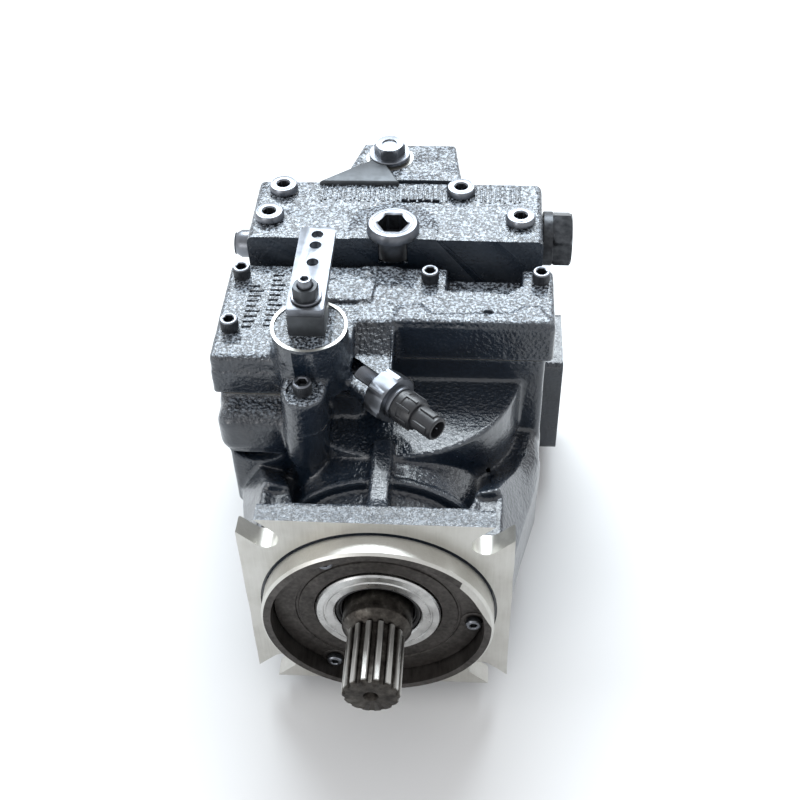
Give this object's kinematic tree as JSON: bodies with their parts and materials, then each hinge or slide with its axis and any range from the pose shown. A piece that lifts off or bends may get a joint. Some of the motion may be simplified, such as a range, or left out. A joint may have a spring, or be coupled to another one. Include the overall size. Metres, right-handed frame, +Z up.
{
  "type": "axial piston pump",
  "caption": "Closed-circuit axial piston pump with a square four-bolt flange, splined shaft, tilting swashplate and a hand lever on top.",
  "frame": {"origin": "on the floor under the middle of the bounding box, below the shaft axis", "axes": "+Y runs back along the shaft from its splined end to the charge pump, +Z up to the control lever, +X to the right seen from the shaft end"},
  "size_m": [0.212, 0.339, 0.2385],
  "materials": {
    "painted_casting": "glossy blue-black paint over rough cast iron, with bare machined faces on the flange",
    "machined_iron": "fine machined, bare",
    "bright_steel": "zinc plated or ground",
    "screw_steel": "black oxide with bright worn tops",
    "shaft_steel": "worn hardened steel, bright on the tooth crests",
    "bronze": "machined",
    "seal_rubber": "satin black",
    "switch_plastic": "black moulded connector on a steel hexagon"
  },
  "bodies": {
    "casing": {"carrier_screw_1": "screw_steel", "carrier_screw_2": "screw_steel", "carrier_screw_3": "screw_steel", "charge_pump_housing": "painted_casting", "charge_relief_plug": "bright_steel", "control_housing": "painted_casting", "control_screw_1": "screw_steel", "control_screw_2": "screw_steel", "control_screw_3": "screw_steel", "control_screw_4": "screw_steel", "control_screw_5": "screw_steel", "end_cap": "painted_casting", "end_cap_bolt_1": "screw_steel", "end_cap_bolt_2": "screw_steel", "end_cap_bolt_3": "screw_steel", "end_cap_bolt_4": "screw_steel", "front_bearing": "bright_steel", "front_plate": "painted_casting", "gauge_plug_1": "bright_steel", "gauge_plug_2": "bright_steel", "gauge_plug_3": "bright_steel", "gauge_plug_4": "bright_steel", "main_housing": "painted_casting", "main_port_plug": "bright_steel", "neutral_switch": "switch_plastic", "rear_bearing": "bright_steel", "relief_valve": "bright_steel", "seal_carrier": "machined_iron", "shaft_seal": "seal_rubber", "side_plug": "bright_steel", "valve_plate": "bronze"},
    "rotating_group": {"drive_shaft": "shaft_steel", "cylinder_block": "bright_steel", "block_spring": "bright_steel", "charge_gear_inner": "bright_steel"},
    "charge_gear_ring": {"charge_gear_outer": "bright_steel"},
    "swash": {"swashplate": "machined_iron"},
    "retainer": {"slipper_retainer": "bright_steel"},
    "servo": {"servo_piston": "bright_steel"},
    "lever": {"control_shaft": "bright_steel", "control_lever": "bright_steel", "lever_nut": "bright_steel"},
    "slipper_body_1": {"slipper_1": "bronze"},
    "piston_body_1": {"piston_1": "bright_steel"},
    "slipper_body_2": {"slipper_2": "bronze"},
    "piston_body_2": {"piston_2": "bright_steel"},
    "slipper_body_3": {"slipper_3": "bronze"},
    "piston_body_3": {"piston_3": "bright_steel"},
    "slipper_body_4": {"slipper_4": "bronze"},
    "piston_body_4": {"piston_4": "bright_steel"},
    "slipper_body_5": {"slipper_5": "bronze"},
    "piston_body_5": {"piston_5": "bright_steel"},
    "slipper_body_6": {"slipper_6": "bronze"},
    "piston_body_6": {"piston_6": "bright_steel"},
    "slipper_body_7": {"slipper_7": "bronze"},
    "piston_body_7": {"piston_7": "bright_steel"},
    "slipper_body_8": {"slipper_8": "bronze"},
    "piston_body_8": {"piston_8": "bright_steel"},
    "slipper_body_9": {"slipper_9": "bronze"},
    "piston_body_9": {"piston_9": "bright_steel"}
  },
  "joints": [
    {"name": "shaft_spin", "type": "hinge", "parent": "casing", "child": "rotating_group", "pos_m": [0, -0.1135, 0.084], "axis": [0, 1, 0], "continuous": true},
    {"name": "lever_turn", "type": "hinge", "parent": "casing", "child": "lever", "pos_m": [-0.04, -0.0195, 0.223], "axis": [0, 0, 1], "range_deg": [-30, 30]},
    {"name": "swash_tilt", "type": "hinge", "parent": "casing", "child": "swash", "pos_m": [0, -0.0085, 0.084], "axis": [1, 0, 0], "range_deg": [-17, 17]},
    {"name": "servo_slide", "type": "slide", "parent": "casing", "child": "servo", "axis": [0, 1, 0], "range_m": [-0.0165, 0.0165]},
    {"name": "retainer_spin", "type": "hinge", "parent": "swash", "child": "retainer", "pos_m": [0, -0.0085, 0.084], "axis": [0, 1, 0], "continuous": true},
    {"name": "charge_ring_spin", "type": "hinge", "parent": "casing", "child": "charge_gear_ring", "pos_m": [0.0019, 0.1345, 0.084], "axis": [0, 1, 0], "continuous": true},
    {"name": "slipper_1_spin", "type": "hinge", "parent": "retainer", "child": "slipper_body_1", "pos_m": [0, -0.0085, 0.122], "axis": [0, 1, 0], "continuous": true},
    {"name": "piston_1_tilt", "type": "hinge", "parent": "slipper_body_1", "child": "piston_body_1", "pos_m": [0, -0.0085, 0.122], "axis": [1, 0, 0], "range_deg": [-17, 17]},
    {"name": "slipper_2_spin", "type": "hinge", "parent": "retainer", "child": "slipper_body_2", "pos_m": [-0.02443, -0.0085, 0.11311], "axis": [0, 1, 0], "continuous": true},
    {"name": "piston_2_tilt", "type": "hinge", "parent": "slipper_body_2", "child": "piston_body_2", "pos_m": [-0.02443, -0.0085, 0.11311], "axis": [1, 0, 0], "range_deg": [-17, 17]},
    {"name": "slipper_3_spin", "type": "hinge", "parent": "retainer", "child": "slipper_body_3", "pos_m": [-0.03742, -0.0085, 0.0906], "axis": [0, 1, 0], "continuous": true},
    {"name": "piston_3_tilt", "type": "hinge", "parent": "slipper_body_3", "child": "piston_body_3", "pos_m": [-0.03742, -0.0085, 0.0906], "axis": [1, 0, 0], "range_deg": [-17, 17]},
    {"name": "slipper_4_spin", "type": "hinge", "parent": "retainer", "child": "slipper_body_4", "pos_m": [-0.03291, -0.0085, 0.065], "axis": [0, 1, 0], "continuous": true},
    {"name": "piston_4_tilt", "type": "hinge", "parent": "slipper_body_4", "child": "piston_body_4", "pos_m": [-0.03291, -0.0085, 0.065], "axis": [1, 0, 0], "range_deg": [-17, 17]},
    {"name": "slipper_5_spin", "type": "hinge", "parent": "retainer", "child": "slipper_body_5", "pos_m": [-0.013, -0.0085, 0.04829], "axis": [0, 1, 0], "continuous": true},
    {"name": "piston_5_tilt", "type": "hinge", "parent": "slipper_body_5", "child": "piston_body_5", "pos_m": [-0.013, -0.0085, 0.04829], "axis": [1, 0, 0], "range_deg": [-17, 17]},
    {"name": "slipper_6_spin", "type": "hinge", "parent": "retainer", "child": "slipper_body_6", "pos_m": [0.013, -0.0085, 0.04829], "axis": [0, 1, 0], "continuous": true},
    {"name": "piston_6_tilt", "type": "hinge", "parent": "slipper_body_6", "child": "piston_body_6", "pos_m": [0.013, -0.0085, 0.04829], "axis": [1, 0, 0], "range_deg": [-17, 17]},
    {"name": "slipper_7_spin", "type": "hinge", "parent": "retainer", "child": "slipper_body_7", "pos_m": [0.03291, -0.0085, 0.065], "axis": [0, 1, 0], "continuous": true},
    {"name": "piston_7_tilt", "type": "hinge", "parent": "slipper_body_7", "child": "piston_body_7", "pos_m": [0.03291, -0.0085, 0.065], "axis": [1, 0, 0], "range_deg": [-17, 17]},
    {"name": "slipper_8_spin", "type": "hinge", "parent": "retainer", "child": "slipper_body_8", "pos_m": [0.03742, -0.0085, 0.0906], "axis": [0, 1, 0], "continuous": true},
    {"name": "piston_8_tilt", "type": "hinge", "parent": "slipper_body_8", "child": "piston_body_8", "pos_m": [0.03742, -0.0085, 0.0906], "axis": [1, 0, 0], "range_deg": [-17, 17]},
    {"name": "slipper_9_spin", "type": "hinge", "parent": "retainer", "child": "slipper_body_9", "pos_m": [0.02443, -0.0085, 0.11311], "axis": [0, 1, 0], "continuous": true},
    {"name": "piston_9_tilt", "type": "hinge", "parent": "slipper_body_9", "child": "piston_body_9", "pos_m": [0.02443, -0.0085, 0.11311], "axis": [1, 0, 0], "range_deg": [-17, 17]}
  ],
  "couplings": [
    {"joint": "swash_tilt", "follows": "lever_turn", "ratio": 0.56667},
    {"joint": "servo_slide", "follows": "lever_turn", "m_per_rad": -0.030153},
    {"joint": "retainer_spin", "follows": "shaft_spin", "ratio": 1},
    {"joint": "charge_ring_spin", "follows": "shaft_spin", "ratio": 0.85714},
    {"joint": "slipper_1_spin", "follows": "shaft_spin", "ratio": -1},
    {"joint": "piston_1_tilt", "follows": "lever_turn", "ratio": -0.56667},
    {"joint": "slipper_2_spin", "follows": "shaft_spin", "ratio": -1},
    {"joint": "piston_2_tilt", "follows": "lever_turn", "ratio": -0.56667},
    {"joint": "slipper_3_spin", "follows": "shaft_spin", "ratio": -1},
    {"joint": "piston_3_tilt", "follows": "lever_turn", "ratio": -0.56667},
    {"joint": "slipper_4_spin", "follows": "shaft_spin", "ratio": -1},
    {"joint": "piston_4_tilt", "follows": "lever_turn", "ratio": -0.56667},
    {"joint": "slipper_5_spin", "follows": "shaft_spin", "ratio": -1},
    {"joint": "piston_5_tilt", "follows": "lever_turn", "ratio": -0.56667},
    {"joint": "slipper_6_spin", "follows": "shaft_spin", "ratio": -1},
    {"joint": "piston_6_tilt", "follows": "lever_turn", "ratio": -0.56667},
    {"joint": "slipper_7_spin", "follows": "shaft_spin", "ratio": -1},
    {"joint": "piston_7_tilt", "follows": "lever_turn", "ratio": -0.56667},
    {"joint": "slipper_8_spin", "follows": "shaft_spin", "ratio": -1},
    {"joint": "piston_8_tilt", "follows": "lever_turn", "ratio": -0.56667},
    {"joint": "slipper_9_spin", "follows": "shaft_spin", "ratio": -1},
    {"joint": "piston_9_tilt", "follows": "lever_turn", "ratio": -0.56667}
  ]
}
